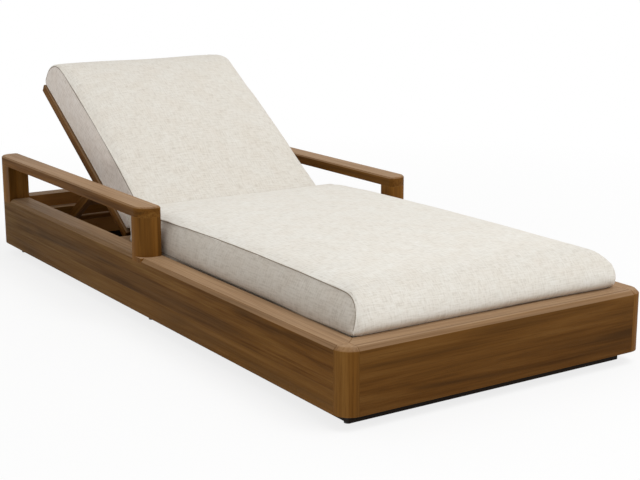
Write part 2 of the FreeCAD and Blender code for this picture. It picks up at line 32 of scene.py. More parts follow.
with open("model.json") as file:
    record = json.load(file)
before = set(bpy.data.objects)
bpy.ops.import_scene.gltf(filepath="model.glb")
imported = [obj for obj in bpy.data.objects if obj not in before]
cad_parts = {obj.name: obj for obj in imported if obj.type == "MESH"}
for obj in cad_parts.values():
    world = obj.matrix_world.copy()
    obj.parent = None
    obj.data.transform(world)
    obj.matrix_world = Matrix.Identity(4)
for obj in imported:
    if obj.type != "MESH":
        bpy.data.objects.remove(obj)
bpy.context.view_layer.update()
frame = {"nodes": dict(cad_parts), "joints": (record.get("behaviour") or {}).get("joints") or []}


def rgb(red, green, blue):
    return (red, green, blue, 1.0)


WHITE = rgb(1, 1, 1)

# Back's angle and hinge axis at rest
REST_ANGLE = math.radians(33)
HINGE = Vector(frame["joints"][0]["pos_m"])

# Span of values in which most of a noise texture lies
NOISE_SPAN = (0.3, 0.7)

# Softened wood edges
EDGE_ROUND = 0.0009
EDGE_SEGMENTS = 2
SHARP_ANGLE = math.radians(32)
WELD_DISTANCE = 0.00002

# Woods: colours of dark, middle and light grain
TEAK = (rgb(0.078, 0.032, 0.005), rgb(0.154, 0.0625, 0.0095), rgb(0.228, 0.107, 0.024))
INNER = (rgb(0.28, 0.18, 0.09), rgb(0.40, 0.27, 0.15), rgb(0.52, 0.38, 0.23))
PLINTH = (rgb(0.010, 0.007, 0.005), rgb(0.018, 0.012, 0.009), rgb(0.032, 0.022, 0.015))

# Direction in which the boards of a node run, and their tilt; other boards run across and level
ACROSS = ("X", 0.0)
GRAIN = {
    "corner_post": ("Z", 0.0),
    "corner_blocks": ("Z", 0.0),
    "arm_post": ("Z", 0.0),
    "arm_dowels": ("Z", 0.0),
    "arm_cap": ("Y", 0.0),
    "side_rail": ("Y", 0.0),
    "plinth_side": ("Y", 0.0),
    "seat_cleat": ("Y", 0.0),
    "center_bearer": ("Y", 0.0),
    "rack": ("Y", 0.0),
    "back_stile": ("Y", REST_ANGLE),
    "back_bottom_rail": ("X", REST_ANGLE),
    "back_top_rail": ("X", REST_ANGLE),
    "back_slats": ("X", REST_ANGLE),
    "prop_leg": ("Y", -REST_ANGLE),
}

# Boards that are darker or lighter than the rest, and boards with marks of their own; the mark on the inner
# faces of the side and head rails is painted sunlight
BOARD_TONES = {"foot_rail": 0.76, "arm_post": 1.14}
BOARD_MARKS = {
    "side_rail": ("two_boards", "sheltered"),
    "head_rail": ("sheltered",),
    "foot_rail": ("scuffed",),
}

# Grain: texture scales across and along a board, and the shift from one board to the next
FIGURE_SCALE = (21.0, 1.4)
STREAK_SCALE = (190.0, 3.0)
PORE_SCALE = (820.0, 20.0)
BOARD_SHIFT = 37.0

# Grain: where the figure turns dark, middle and light, and how streaks and pores darken it
FIGURE_STOPS = (0.28, 0.50, 0.74)
STREAK_TONES = [(0.34, rgb(0.66, 0.60, 0.54)), (0.52, WHITE), (0.75, rgb(1.14, 1.12, 1.08))]
LONG_STREAK_SHARE = 0.8
CROSS_STREAK_SHARE = 0.5
PORE_RANGE = (0.30, 0.42)
PORE_SHARE = 0.34
STREAK_HEIGHT = 0.6
GRAIN_DEPTH = 0.00025
GRAIN_STRENGTH = 0.5
WOOD_SHINE = 0.06

# Worn edges
WEAR_RADIUS = 0.003
WEAR_GAIN = 5.0
WEAR_SAMPLES = 4

# Side rails: two boards glued one over the other, darker and greener towards the head
GLUE_LINE = 0.088
GLUE_LINE_WIDTH = 0.0007
GLUE_SHARE = 0.5
WEATHER_REACH = 0.9
WEATHERED = rgb(0.70, 0.80, 0.84)
LOWER_PALER = (0.30, 0.10)

# Faces that look up are painted paler, as painted light from above with some sun bleaching; inner faces of
# the rails are painted paler, as painted sunlight
TOP_LIGHT_AND_BLEACH_COLOUR = rgb(0.435, 0.285, 0.168)
TOP_LIGHT_AND_BLEACH_SHARE = 0.7
TOP_LIGHT_AND_BLEACH_SPREAD = 0.16
TOP_LIGHT_AND_BLEACH_STREAKS = (0.36, 0.64)
TOP_LIGHT_AND_BLEACH_RANGE = (0.45, 0.95)
PAINTED_INNER_SUN = rgb(0.46, 0.22, 0.065)
PAINTED_INNER_SUN_LIMIT = 0.2
PAINTED_INNER_SUN_SHARE = (0.5, 0.9)

# Foot rail: darker towards the floor, with a thin joint along its top
LOW_DARKENING_RANGE = (0.04, 0.18)
LOW_DARKENING_BOTTOM = rgb(0.86, 0.82, 0.80)
LOW_DARKENING_TOP = rgb(1.12, 1.14, 1.25)
TOP_JOINT = -0.981
TOP_JOINT_WIDTH = 0.003
TOP_JOINT_SHARE = 0.6

# Linen: colours of hollows, yarn and raised slubs, and where one turns into the next
LINEN = (rgb(0.71, 0.672, 0.602), rgb(0.84, 0.81, 0.74), rgb(0.90, 0.88, 0.825))
MAIN_STOPS = (0.36, 0.50, 0.64)
SIDE_STOPS = (0.40, 0.50, 0.64)

# Linen: tint of a cushion's main panel and tint of its side panels; the seat's side panels are darker as
# painted shade, the back's side panels lighter and pinker than its main panel as painted light
SEAT_PAINTED_SHADE_TINTS = ((1.0, 1.0, 1.0), (0.72, 0.685, 0.655))
BACK_PAINTED_LIGHT_TINTS = ((0.90, 0.89, 0.88), (0.98, 0.93, 0.925))

# Linen: the seat's nose is painted a little darker, as painted shade
NOSE_PAINTED_SHADE = rgb(0.91, 0.905, 0.90)
NOSE_PAINTED_SHADE_RANGE = (-0.53, -0.61)

# Linen: slubs, mottling and threads
WEFT_SCALE = (34.0, 250.0, 1.0)
WARP_SCALE = (270.0, 38.0, 1.0)
MOTTLE_SCALE = (14.0, 14.0, 1.0)
MOTTLE_TONES = [(0.35, rgb(0.95, 0.92, 0.89)), (0.65, WHITE)]
MOTTLE_SHARE = 0.6
THREAD_PITCH = 0.0026
THREAD_WANDER = 2.5
HOLLOW_SHARE = 0.08
WEAVE_HEIGHT = 0.5
CLOTH_DEPTH = 0.0005
CLOTH_STRENGTH = 0.55

# Cushions: even mesh, shrunk before it is blown up
VOXEL = 0.0094
SHRINK = 0.005
PRESSURE = 4.0
SWELL_CAP = 0.013
SIM_FRAMES = 20
SIM_QUALITY = 2
TINY = 1e-9

# Cushions: how the seams, bottom and crease are held while they swell; turns are start and width
SEAM_HOLD = 0.012
BOTTOM_HOLD = 0.015
BOTTOM_TURN = (0.3, 0.4)
SEAT_CREASE_HOLD = 0.02
BACK_CREASE_HOLD = 0.21
CREASE_RAMP = 0.06
CREASE_TURN = (0.2, 0.3)

# Cushions: search for the edge between a side panel and the main panel
SIDES = (-1, 1)
FAR = 3.0
SEAM_STEP = 0.008
EDGE_STEP = 0.004
EDGE_TRIES = 3
NOSE_TURN = 0.72
SIDE_FACING = 0.7

# Cushions: cords along the seams, and thin dark cords beside them painted as the seams' shadow
PIPING_RADIUS = 0.0022
PIPING_SINK = 0.0006
SEAM_SHADOW_RADIUS = 0.0012
SEAM_SHADOW_DROP = 0.0044
SEAM_SMOOTHING = 4
CORD_RESOLUTION = 3

# Cushions: panels filled out beside the seams, soft dips, puckers and the seam's groove
TOP_PUFF = 0.009
BOX_PUFF = 0.003
PUFF_REACH = 0.016
SIDE_TURN = (0.45, 0.3)
SOFT_DIP = 0.0022
DIP_SCALE = 5.0
PUCKER = 0.0010
PUCKER_SCALE = 60.0
PUCKER_REACH = 0.018
GROOVE = 0.0022
GROOVE_REACH = 0.005

# Seat cushion: filling that has settled into one front corner
CORNER_BULGE = 0.028
CORNER_POWER = 0.7
CORNER_REACH = 0.13
CORNER_AIM = (0.86, -0.5, 0.0)

# Seat cushion: lower edge that bulges over the rails, up to the arms
OVERHANG = 0.013
OVERHANG_START = 0.183
OVERHANG_RISE = 0.004
OVERHANG_FADE = 0.07
OVERHANG_DEPTH = 0.04
ARM_FRONT = -0.01
ARM_REACH = 0.30

# Seat cushion: thin dark cord just over the lower edge, painted as the contact shadow along the rails
CONTACT_SHADOW_HEIGHT = 0.0146
CONTACT_SHADOW_REAR = 0.08
CONTACT_SHADOW_CORNER = 0.012

# Camera
CAMERA_PLACE = (-1.9177, -3.1457, 1.0212)
CAMERA_TILT = math.radians(77.0)
CAMERA_TURN = math.radians(-33.41)
CAMERA_LENS = 74.41
SENSOR_WIDTH = 36.0

# Light and floor
AMBIENT = 0.62
KEY_PLACE = Vector((1.6, -3.8, 7.2))
KEY_AIM = Vector((0, 0, 0.2))
KEY_POWER = 310.0
KEY_SIZE = 4.6
FLOOR_SIZE = 80.0
FLOOR_COLOUR = rgb(0.93, 0.93, 0.925)
FLOOR_GLOW = 0.8
FLOOR_NEAR = 1.3
FLOOR_FAR = 3.2
FLOOR_SHADED = (0.39, 0.948)


class Shade:
    """One node material, with short ways to add and link its nodes."""

    def __init__(self, name):
        self.material = bpy.data.materials.new(name)
        self.material.use_nodes = True
        self.tree = self.material.node_tree
        self.surface = self.tree.nodes["Principled BSDF"]

    def add(self, kind, inputs=None, **settings):
        node = self.tree.nodes.new(kind)
        for key, value in settings.items():
            setattr(node, key, value)
        for key, value in (inputs or {}).items():
            self.feed(node.inputs[key], value)
        return node

    def feed(self, socket, value):
        if isinstance(value, bpy.types.NodeSocket):
            self.tree.links.new(value, socket)
        else:
            socket.default_value = value

    def set(self, **values):
        for key, value in values.items():
            self.feed(self.surface.inputs[key.replace("_", " ")], value)

    def math(self, operation, a, b=0.0, c=0.0, clamp=False):
        node = self.add("ShaderNodeMath", {0: a, 1: b, 2: c}, operation=operation, use_clamp=clamp)
        return node.outputs[0]

    def gap(self, value, level):
        """How far a value is from a level."""
        return self.math("ABSOLUTE", self.math("SUBTRACT", value, level))

    def mix(self, factor, a, b, blend="MIX"):
        node = self.add("ShaderNodeMix", {0: factor, 6: a, 7: b}, data_type="RGBA", blend_type=blend)
        return node.outputs[2]

    def ramp(self, factor, stops):
        node = self.add("ShaderNodeValToRGB", {"Fac": factor})
        elements = node.color_ramp.elements
        while len(elements) < len(stops):
            elements.new(0.5)
        for element, (place, colour) in zip(elements, stops):
            element.position = place
            element.color = colour
        return node.outputs["Color"]

    def speckle(self, grain, low, high):
        """Colour that runs from low to high with a noise."""
        return self.ramp(grain, list(zip(NOISE_SPAN, (low, high))))

    def remap(self, value, low, high, to_low=0.0, to_high=1.0):
        inputs = {"Value": value, "From Min": low, "From Max": high, "To Min": to_low, "To Max": to_high}
        return self.add("ShaderNodeMapRange", inputs).outputs["Result"]

    def place(self, tilt=0.0):
        """Place on the piece in metres, turned flat where the piece is tilted."""
        place = self.add("ShaderNodeTexCoord").outputs["Object"]
        if tilt:
            turned = {"Vector": place, "Axis": (1, 0, 0), "Angle": -tilt, "Center": HINGE}
            place = self.add("ShaderNodeVectorRotate", turned, rotation_type="AXIS_ANGLE").outputs["Vector"]
        return place

    def split(self, vector):
        return self.add("ShaderNodeSeparateXYZ", {0: vector}).outputs

    def facing(self):
        return self.add("ShaderNodeNewGeometry").outputs["Normal"]

    def dot(self, a, b):
        return self.add("ShaderNodeVectorMath", {0: a, 1: b}, operation="DOT_PRODUCT").outputs["Value"]

    def shifted(self, place, shift):
        return self.add("ShaderNodeVectorMath", {0: place, 1: shift}, operation="ADD").outputs[0]

    def noise(self, place, scale, detail=2.0, distortion=0.0, roughness=0.5):
        stretched = self.add("ShaderNodeMapping", {"Vector": place, "Scale": scale}, vector_type="POINT")
        inputs = {
            "Vector": stretched.outputs["Vector"],
            "Scale": 1.0,
            "Detail": detail,
            "Distortion": distortion,
            "Roughness": roughness,
        }
        return self.add("ShaderNodeTexNoise", inputs).outputs["Fac"]

    def bump(self, height, distance, strength):
        inputs = {"Height": height, "Distance": distance, "Strength": strength}
        return self.add("ShaderNodeBump", inputs).outputs["Normal"]


def tinted(colours, tint):
    """Colours multiplied by a tint, part by part."""
    return [rgb(*(part * share for part, share in zip(colour, tint))) for colour in colours]


# Wood

def along(axis, fine, coarse):
    """Texture scale that is fine across the grain and coarse along the named axis."""
    return tuple(coarse if name == axis else fine for name in "XYZ")


def board_place(shade, tilt):
    """Place on a board, shifted so that no two boards have the same figure."""
    random = shade.add("ShaderNodeObjectInfo").outputs["Random"]
    return shade.shifted(shade.place(tilt), shade.math("MULTIPLY", random, BOARD_SHIFT))


def lower_board(shade):
    """One below the glue line of the two boards that a side rail is made of."""
    return shade.math("LESS_THAN", shade.split(shade.place())["Z"], GLUE_LINE)


def glued(shade, colour, dark, light):
    """Colour of two boards: weathered towards the head, paler below, with a thin line between them."""
    place = shade.split(shade.place())
    weather = shade.remap(place["Y"], -WEATHER_REACH, WEATHER_REACH)
    colour = shade.mix(weather, colour, WEATHERED, "MULTIPLY")
    paler = shade.math("MULTIPLY", lower_board(shade), shade.remap(weather, 0.0, 1.0, *LOWER_PALER))
    colour = shade.mix(paler, colour, light)
    line = shade.math("LESS_THAN", shade.gap(place["Z"], GLUE_LINE), GLUE_LINE_WIDTH)
    return shade.mix(shade.math("MULTIPLY", line, GLUE_SHARE), colour, dark)


def sheltered(shade, colour, figure):
    """Colour painted paler on the faces of a rail that look inwards, as painted sunlight."""
    outward = shade.dot(shade.place(), shade.facing())
    inside = shade.math("LESS_THAN", outward, -PAINTED_INNER_SUN_LIMIT)
    share = shade.math("MULTIPLY", inside, shade.remap(figure, *NOISE_SPAN, *PAINTED_INNER_SUN_SHARE))
    return shade.mix(share, colour, PAINTED_INNER_SUN)


def scuffed(shade, colour):
    """Colour that darkens towards the floor."""
    height = shade.remap(shade.split(shade.place())["Z"], *LOW_DARKENING_RANGE)
    tone = shade.ramp(height, [(0.0, LOW_DARKENING_BOTTOM), (1.0, LOW_DARKENING_TOP)])
    return shade.mix(1.0, colour, tone, "MULTIPLY")


def bleached_and_top_lit(shade, colour, streaks, bleach):
    """Colour painted paler in streaks on the faces that look up: painted light from above, with some sun
    bleaching.
    """
    upward = shade.remap(shade.split(shade.facing())["Z"], *TOP_LIGHT_AND_BLEACH_RANGE)
    share = shade.remap(streaks, *TOP_LIGHT_AND_BLEACH_STREAKS, bleach - TOP_LIGHT_AND_BLEACH_SPREAD, bleach + TOP_LIGHT_AND_BLEACH_SPREAD)
    return shade.mix(shade.math("MULTIPLY", upward, share), colour, TOP_LIGHT_AND_BLEACH_COLOUR)


def jointed(shade, colour, dark):
    """Colour with a thin joint along the top of the foot rail."""
    away = shade.gap(shade.split(shade.place())["Y"], TOP_JOINT)
    return shade.mix(shade.remap(away, 0.0, TOP_JOINT_WIDTH, TOP_JOINT_SHARE, 0.0), colour, dark)


def edge_wear(shade):
    """One along worn edges and nought on flat faces."""
    rounded = shade.add("ShaderNodeBevel", {"Radius": WEAR_RADIUS}, samples=WEAR_SAMPLES).outputs["Normal"]
    match = shade.dot(rounded, shade.facing())
    return shade.math("MULTIPLY", shade.math("SUBTRACT", 1.0, match), WEAR_GAIN, clamp=True)


def grain_of(shade, place, axis):
    """Figure, streaks and depth of the pores along one axis."""
    figure = shade.noise(place, along(axis, *FIGURE_SCALE), detail=4.0, distortion=0.9, roughness=0.55)
    streaks = shade.noise(place, along(axis, *STREAK_SCALE), detail=4.0, roughness=0.62)
    pores = shade.noise(place, along(axis, *PORE_SCALE), detail=1.0)
    return figure, streaks, shade.remap(pores, *PORE_RANGE, 1.0, 0.0)


def wood(name, axis, colours, tilt=0.0, worn=0.5, rough=(0.50, 0.68), bleach=0.0, marks=()):
    """Wood with figure, streaks and pores along one axis; colours run dark, middle, light."""
    dark, _, light = colours
    shade = Shade(name)
    place = board_place(shade, tilt)
    if "two_boards" in marks:
        place = shade.shifted(place, lower_board(shade))
    figure, streaks, pores = grain_of(shade, place, axis)
    colour = shade.ramp(figure, list(zip(FIGURE_STOPS, colours)))
    streak_share = LONG_STREAK_SHARE if axis == "Y" else CROSS_STREAK_SHARE
    colour = shade.mix(streak_share, colour, shade.ramp(streaks, STREAK_TONES), "MULTIPLY")
    colour = shade.mix(shade.math("MULTIPLY", pores, PORE_SHARE), colour, dark)
    if "two_boards" in marks:
        colour = glued(shade, colour, dark, light)
    # Painted sunlight on the inner faces of the rails.
    if "sheltered" in marks:
        colour = sheltered(shade, colour, figure)
    if "scuffed" in marks:
        colour = scuffed(shade, colour)
    # Painted light from above on faces that look up, with some sun bleaching.
    if bleach:
        colour = bleached_and_top_lit(shade, colour, streaks, bleach)
    if "scuffed" in marks:
        colour = jointed(shade, colour, dark)
    colour = shade.mix(shade.math("MULTIPLY", edge_wear(shade), worn), colour, light)
    height = shade.math("SUBTRACT", shade.math("MULTIPLY", streaks, STREAK_HEIGHT), pores)
    shade.set(Base_Color=colour, Normal=shade.bump(height, GRAIN_DEPTH, GRAIN_STRENGTH))
    shade.set(Roughness=shade.remap(streaks, *NOISE_SPAN, rough[1], rough[0]))
    shade.set(Specular_IOR_Level=WOOD_SHINE)
    return shade.material


# Steel and plastic

def brushed_steel():
    shade = Shade("brushed_steel")
    brush = shade.noise(shade.place(), scale=(40.0, 900.0, 900.0), detail=3.0)
    smudge = shade.noise(shade.place(), scale=(60.0, 60.0, 60.0), detail=2.0)
    colour = shade.speckle(smudge, low=rgb(0.50, 0.50, 0.49), high=rgb(0.64, 0.64, 0.62))
    shade.set(Base_Color=colour, Metallic=1.0)
    shade.set(Roughness=shade.remap(brush, *NOISE_SPAN, to_low=0.26, to_high=0.44))
    shade.set(Normal=shade.bump(brush, distance=0.00005, strength=0.4))
    return shade.material


def glide_plastic():
    shade = Shade("glide_plastic")
    grain = shade.noise(shade.place(), scale=(700.0, 700.0, 700.0), detail=2.0)
    colour = shade.speckle(grain, low=rgb(0.012, 0.012, 0.012), high=rgb(0.028, 0.027, 0.026))
    shade.set(Base_Color=colour)
    shade.set(Roughness=shade.remap(grain, *NOISE_SPAN, to_low=0.5, to_high=0.7))
    shade.set(Normal=shade.bump(grain, distance=0.0001, strength=0.4))
    return shade.material


# Finish of each node

def first_match(table, node, default):
    """Value of the first entry that the node's name starts with."""
    return next((value for start, value in table.items() if node.startswith(start)), default)


def new_finish(slot, axis, tilt, tone, marks):
    label = "%s_%s_%d" % (slot, axis.lower(), round(math.degrees(tilt)))
    label += "_tone_%d" % round(100 * tone) if tone != 1 else ""
    label += "".join("_" + mark for mark in marks)
    if slot == "teak":
        return wood(label, axis, tinted(TEAK, (tone, tone, tone)), tilt, bleach=TOP_LIGHT_AND_BLEACH_SHARE, marks=marks)
    if slot == "inner_wood":
        return wood(label, axis, INNER, tilt, worn=0.2, rough=(0.55, 0.72))
    if slot == "plinth_dark":
        return wood(label, axis, PLINTH, tilt, worn=0.25, rough=(0.48, 0.66))
    if slot == "steel":
        return brushed_steel()
    return glide_plastic()


def soften_edges(item):
    """Join the mesh's split corners again and round its edges a little."""
    weld = item.modifiers.new("weld", "WELD")
    weld.merge_threshold = WELD_DISTANCE
    bevel = item.modifiers.new("edges", "BEVEL")
    bevel.width = EDGE_ROUND
    bevel.segments = EDGE_SEGMENTS
    bevel.limit_method = "ANGLE"
    bevel.angle_limit = SHARP_ANGLE
    bevel.harden_normals = True


def finish_nodes():
    """Finish all nodes but the cushions; nodes with the same slot, grain and marks share a material."""
    made = {}
    for name, item in frame["nodes"].items():
        slot = item.data.materials[0].name.split(".")[0]
        if slot == "cushion_fabric":
            continue
        tone = first_match(BOARD_TONES, name, 1.0)
        marks = first_match(BOARD_MARKS, name, ())
        key = (slot, *first_match(GRAIN, name, ACROSS), tone, marks)
        if key not in made:
            made[key] = new_finish(*key)
        item.data.materials[0] = made[key]
        soften_edges(item)


finish_nodes()


# Cloth

def threads(shade, place, wander):
    """Wave with one crest per thread, its phase wandering so that the threads run unevenly."""
    phase = shade.math("MULTIPLY", place, 2 * math.pi / THREAD_PITCH)
    return shade.math("SINE", shade.math("ADD", phase, wander))


def linen(name, tilt, nose, side, tint):
    """Slubby cream linen; the threads follow a side panel or the panel that wraps over the nose."""
    shade = Shade(name)
    place = shade.split(shade.place(tilt))
    if side:
        across, down = place["Y"], place["Z"]
    else:
        across, down = place["X"], shade.math("MULTIPLY_ADD", place["Z"], -nose, place["Y"])
    cloth = shade.add("ShaderNodeCombineXYZ", {"X": across, "Y": down}).outputs["Vector"]
    weft = shade.noise(cloth, WEFT_SCALE, detail=3.0, roughness=0.6)
    warp = shade.noise(cloth, WARP_SCALE, detail=3.0, roughness=0.6)
    mottle = shade.noise(cloth, MOTTLE_SCALE, detail=3.0, roughness=0.6)
    slubs = shade.math("ADD", weft, warp)
    wander = shade.math("MULTIPLY", slubs, THREAD_WANDER)
    weave = shade.math("MULTIPLY", threads(shade, across, wander), threads(shade, down, wander))
    # The tint darkens the seat's side panels as painted shade and lightens the back's side panels as
    # painted light.
    colours = tinted(LINEN, tint)
    stops = SIDE_STOPS if side else MAIN_STOPS
    colour = shade.ramp(shade.math("MULTIPLY", slubs, 0.5), list(zip(stops, colours)))
    colour = shade.mix(MOTTLE_SHARE, colour, shade.ramp(mottle, MOTTLE_TONES), "MULTIPLY")
    colour = shade.mix(shade.remap(weave, -1.0, 1.0, HOLLOW_SHARE, 0.0), colour, colours[0])
    # Painted shade over the seat's nose.
    if nose < 0 and not side:
        colour = shade.mix(shade.remap(down, *NOSE_PAINTED_SHADE_RANGE), colour, NOSE_PAINTED_SHADE, "MULTIPLY")
    height = shade.math("MULTIPLY_ADD", weave, WEAVE_HEIGHT, slubs)
    shade.set(Base_Color=colour, Roughness=0.92, Specular_IOR_Level=0.2)
    shade.set(Sheen_Weight=0.12, Sheen_Roughness=0.5)
    shade.set(Normal=shade.bump(height, CLOTH_DEPTH, CLOTH_STRENGTH))
    return shade.material


def seam_thread():
    """Dark colour of the cords painted as shadow: in the seam under the piping and over the seat's lower
    edge.
    """
    shade = Shade("seam_thread")
    twist = shade.noise(shade.place(), scale=(400.0, 400.0, 400.0), detail=2.0)
    colour = shade.speckle(twist, low=rgb(0.22, 0.175, 0.13), high=rgb(0.38, 0.315, 0.25))
    shade.set(Base_Color=colour, Roughness=0.95, Specular_IOR_Level=0.1)
    shade.set(Normal=shade.bump(twist, distance=0.0003, strength=0.5))
    return shade.material


# Meshes

def points_of(mesh):
    flat = np.empty(len(mesh.vertices) * 3)
    mesh.vertices.foreach_get("co", flat)
    return flat.reshape(-1, 3)


def normals_of(mesh):
    flat = np.empty(len(mesh.vertices) * 3)
    mesh.vertex_normals.foreach_get("vector", flat)
    return flat.reshape(-1, 3)


def put_points(mesh, points):
    mesh.vertices.foreach_set("co", np.asarray(points, dtype=float).ravel())
    mesh.update()


def rising(value, start, width):
    """Nought up to the start, then rising to one over the width."""
    return np.clip((value - start) / width, 0, 1)


def link(item):
    bpy.context.scene.collection.objects.link(item)
    return item


def surface_of(item):
    """The item's surface, to cast rays at and to find nearest places on."""
    return BVHTree.FromObject(item, bpy.context.evaluated_depsgraph_get())


def flat_turn(tilt):
    """Turn about the hinge that lays a reclined piece flat."""
    return Matrix.Translation(HINGE) @ Matrix.Rotation(-tilt, 4, "X") @ Matrix.Translation(-HINGE)


def flat_copy(name, node, tilt):
    """Copy of a cushion's solid, laid flat."""
    mesh = frame["nodes"][node].data.copy()
    mesh.materials.clear()
    mesh.transform(flat_turn(tilt))
    work = bmesh.new()
    work.from_mesh(mesh)
    bmesh.ops.remove_doubles(work, verts=work.verts, dist=WELD_DISTANCE)
    work.to_mesh(mesh)
    work.free()
    return link(bpy.data.objects.new(name, mesh))


def bake_modifiers(item):
    """Give the item the mesh that its modifiers make, and take them off."""
    graph = bpy.context.evaluated_depsgraph_get()
    shaped = bpy.data.meshes.new_from_object(item.evaluated_get(graph))
    item.modifiers.clear()
    item.data = shaped


def even_mesh(item):
    """Mesh the item anew with even faces."""
    remesh = item.modifiers.new("remesh", "REMESH")
    remesh.mode = "VOXEL"
    remesh.voxel_size = VOXEL
    remesh.use_smooth_shade = True
    bake_modifiers(item)


def smooth_mesh(item):
    """Divide the faces once, so that the cloth curves evenly."""
    item.modifiers.new("smooth", "SUBSURF").levels = 1
    bake_modifiers(item)


# Seams

def evened(line):
    """Line with its small kinks smoothed out."""
    line = np.array(line)
    for _ in range(SEAM_SMOOTHING):
        line[1:-1] = (line[:-2] + 2 * line[1:-1] + line[2:]) / 4
    return line


def hit(surface, start, direction):
    """Where a ray meets the surface, and the face's normal there."""
    place, normal, _, _ = surface.ray_cast(Vector(start), Vector(direction))
    return place, normal


def top_edge(surface, side, y):
    """Where the side panel meets the top at this y, and how far the top looks up."""
    x = 0.0
    for _ in range(EDGE_TRIES):
        top, normal = hit(surface, (x, y, FAR), (0, 0, -1))
        flank, _ = hit(surface, (side * FAR, y, top.z - EDGE_STEP), (-side, 0, 0))
        x = flank.x - side * EDGE_STEP
    return Vector((flank.x, y, top.z)), normal.z


def nose_edge(surface, side, nose, z):
    """Where the side panel meets the nose at this height."""
    x = 0.0
    for _ in range(EDGE_TRIES):
        front, _ = hit(surface, (x, nose * FAR, z), (0, -nose, 0))
        flank, _ = hit(surface, (side * FAR, front.y - nose * EDGE_STEP, z), (-side, 0, 0))
        x = flank.x - side * EDGE_STEP
    return Vector((flank.x, front.y, z))


def seam_line(surface, low, high, nose, side):
    """Seam of a side panel, from the crease along the top and down over the nose."""
    line = []
    start, end = (low.y, high.y) if nose > 0 else (high.y, low.y)
    y = start + nose * SEAM_STEP
    while nose * (end - y) > SEAM_STEP:
        place, upward = top_edge(surface, side, y)
        if upward < NOSE_TURN and nose * (y - (start + end) / 2) > 0:
            break
        line.append(place)
        y += nose * SEAM_STEP
    z = line[-1].z - SEAM_STEP
    while z > low.z + SEAM_STEP:
        line.append(nose_edge(surface, side, nose, z))
        z -= SEAM_STEP
    return evened(line)


def beside(line, nose, side):
    """Seam line moved down the side panel, to where its shadow is painted."""
    run = np.gradient(line, axis=0)
    run /= np.linalg.norm(run, axis=1)[:, None]
    outward = np.array([side, 0.0, 0.0])
    inward = np.cross(run, outward) * side * nose
    return line + inward * SEAM_SHADOW_DROP


def laid_on(surface, line, sink):
    """Line laid on the cushion's surface, or sunk into it."""
    places = []
    for start in line:
        place, normal, _, _ = surface.find_nearest(Vector(start))
        places.append(place - normal * sink)
    return evened(places)


def contact_shadow_line(surface, points, nose):
    """Line round a cushion's sides and front, just over its lower edge, for a dark cord painted as the
    contact shadow.
    """
    low, high = points.min(axis=0), points.max(axis=0)
    z = low[2] + CONTACT_SHADOW_HEIGHT
    front, rear = (high[1], low[1]) if nose > 0 else (low[1], high[1])
    lengthwise = np.arange(rear + nose * CONTACT_SHADOW_REAR, front - nose * CONTACT_SHADOW_CORNER, nose * SEAM_STEP)
    crosswise = np.arange(low[0] + CONTACT_SHADOW_CORNER, high[0] - CONTACT_SHADOW_CORNER, SEAM_STEP)
    left = [hit(surface, (-FAR, y, z), (1, 0, 0))[0] for y in lengthwise]
    across = [hit(surface, (x, nose * FAR, z), (0, -nose, 0))[0] for x in crosswise]
    right = [hit(surface, (FAR, y, z), (-1, 0, 0))[0] for y in lengthwise[::-1]]
    return np.array(left + across + right)


def piping(name, lines, turn, radius, material):
    """Thin cords along the lines."""
    curve = bpy.data.curves.new(name, "CURVE")
    curve.dimensions = "3D"
    curve.bevel_depth = radius
    curve.bevel_resolution = CORD_RESOLUTION
    for line in lines:
        spline = curve.splines.new("POLY")
        spline.points.add(len(line) - 1)
        for point, place in zip(spline.points, line):
            point.co = (*(turn @ Vector(place)), 1.0)
    curve.materials.append(material)
    return link(bpy.data.objects.new(name, curve))


# Filling

def nearest(points, lines):
    """Distance from each point to the seams."""
    tree = kdtree.KDTree(sum(len(line) for line in lines))
    for number, place in enumerate(np.vstack(lines)):
        tree.insert(place, number)
    tree.balance()
    return np.array([tree.find(place)[2] for place in points])


def free_share(points, normals, nose, gaps, crease_hold):
    """How freely each point may swell: nought on the bottom, at the seams and beside the crease."""
    low, high = points.min(axis=0), points.max(axis=0)
    from_crease = points[:, 1] - low[1] if nose > 0 else high[1] - points[:, 1]
    seam = np.exp(-(gaps / SEAM_HOLD) ** 2)
    bottom = rising(-normals[:, 2], *BOTTOM_TURN)
    crease = rising(-nose * normals[:, 1], *CREASE_TURN)
    near_crease = 1 - rising(from_crease, crease_hold, CREASE_RAMP)
    above_bottom = rising(points[:, 2] - low[2], BOTTOM_HOLD, BOTTOM_HOLD)
    held = np.maximum.reduce([seam, bottom, crease, near_crease])
    return np.clip((1 - held) * above_bottom, 0, 1)


def swell(item, free):
    """Blow the cushion up with cloth pressure, held at its seams, and keep the shape."""
    mesh = item.data
    group = item.vertex_groups.new(name="held")
    for number, share in enumerate(free):
        group.add([number], 1.0 - float(share), "REPLACE")
    start = points_of(mesh)
    cloth = item.modifiers.new("cloth", "CLOTH")
    settings = cloth.settings
    settings.use_pressure = True
    settings.uniform_pressure_force = PRESSURE
    settings.vertex_group_mass = group.name
    settings.effector_weights.gravity = 0
    settings.quality = SIM_QUALITY
    cloth.collision_settings.use_collision = False
    cloth.point_cache.frame_start = 1
    cloth.point_cache.frame_end = SIM_FRAMES
    scene = bpy.context.scene
    for number in range(1, SIM_FRAMES + 1):
        scene.frame_set(number)
    graph = bpy.context.evaluated_depsgraph_get()
    result = item.evaluated_get(graph).to_mesh()
    moved = points_of(result) - start
    item.evaluated_get(graph).to_mesh_clear()
    item.modifiers.clear()
    scene.frame_set(1)
    item.vertex_groups.clear()
    length = np.linalg.norm(moved, axis=1)
    keep = np.minimum(1.0, SWELL_CAP / np.maximum(length, TINY))
    put_points(mesh, start + moved * keep[:, None])


